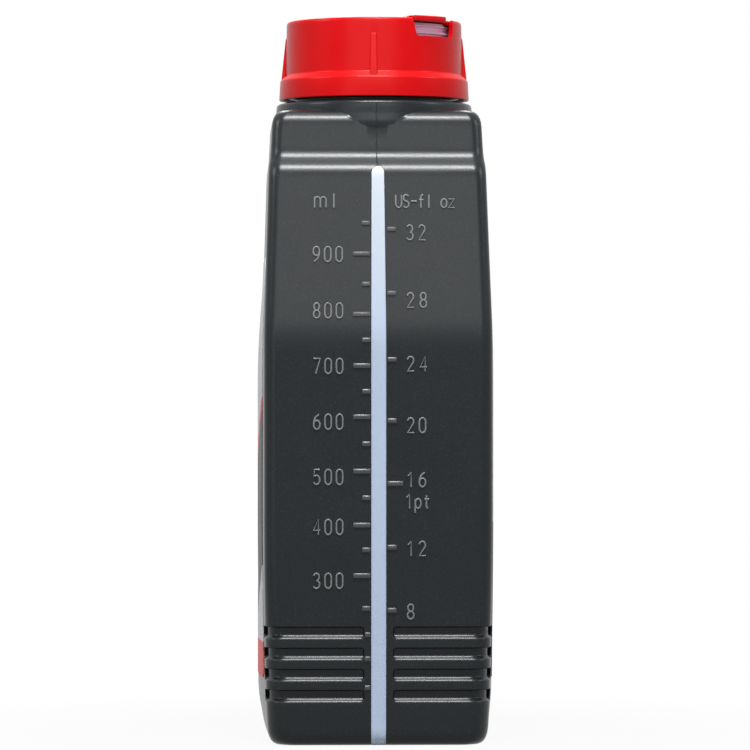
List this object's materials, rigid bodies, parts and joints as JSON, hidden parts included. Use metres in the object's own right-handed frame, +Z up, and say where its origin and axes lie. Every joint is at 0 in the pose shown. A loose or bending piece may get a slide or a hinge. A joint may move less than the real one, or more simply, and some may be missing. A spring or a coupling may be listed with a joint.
{
  "type": "motor oil bottle",
  "caption": "Flat-sided plastic oil bottle with a clear level strip, graduated scale, ribbed foot, and a flared screw closure with a flip lid over a pouring insert.",
  "frame": {"origin": "centre of the base, on the surface that the bottle stands on", "axes": "+Z up along the neck; -Y towards the narrow face with the level strip; -X towards the front label"},
  "size_m": [0.0738, 0.0921, 0.2264],
  "materials": {
    "body_plastic": "anthracite, fine sandblasted grain",
    "strip_plastic": "translucent natural plastic, pale blue",
    "label_film": "silver-grey film with plain colour fields",
    "back_label_film": "silver-grey film with plain colour fields",
    "seal_foam": "soft white foamed plastic",
    "insert_plastic": "translucent natural plastic, smooth",
    "cap_plastic": "red, fine spark-eroded grain",
    "lid_plastic": "red, fine spark-eroded grain"
  },
  "bodies": {
    "bottle": {"bottle": "body_plastic", "view_strip": "strip_plastic", "front_label": "label_film", "back_label": "back_label_film"},
    "seal": {"seal_ring": "seal_foam"},
    "closure": {"screw_cap": "cap_plastic", "pour_insert": "insert_plastic"},
    "lid": {"flip_lid": "lid_plastic"}
  },
  "joints": [
    {"name": "cap_rise", "type": "slide", "parent": "bottle", "child": "seal", "axis": [0, 0, 1], "range_m": [0, 0.0068]},
    {"name": "cap_turn", "type": "hinge", "parent": "seal", "child": "closure", "pos_m": [0, 0, 0.2132], "axis": [0, 0, 1], "range_deg": [0, 480]},
    {"name": "lid_flip", "type": "hinge", "parent": "closure", "child": "lid", "pos_m": [-0.01735, 0.01828, 0.2239], "axis": [-0.7254, -0.6884, 0], "range_deg": [0, 125]}
  ],
  "couplings": [
    {"joint": "cap_rise", "follows": "cap_turn", "m_per_rad": 0.00079577}
  ]
}
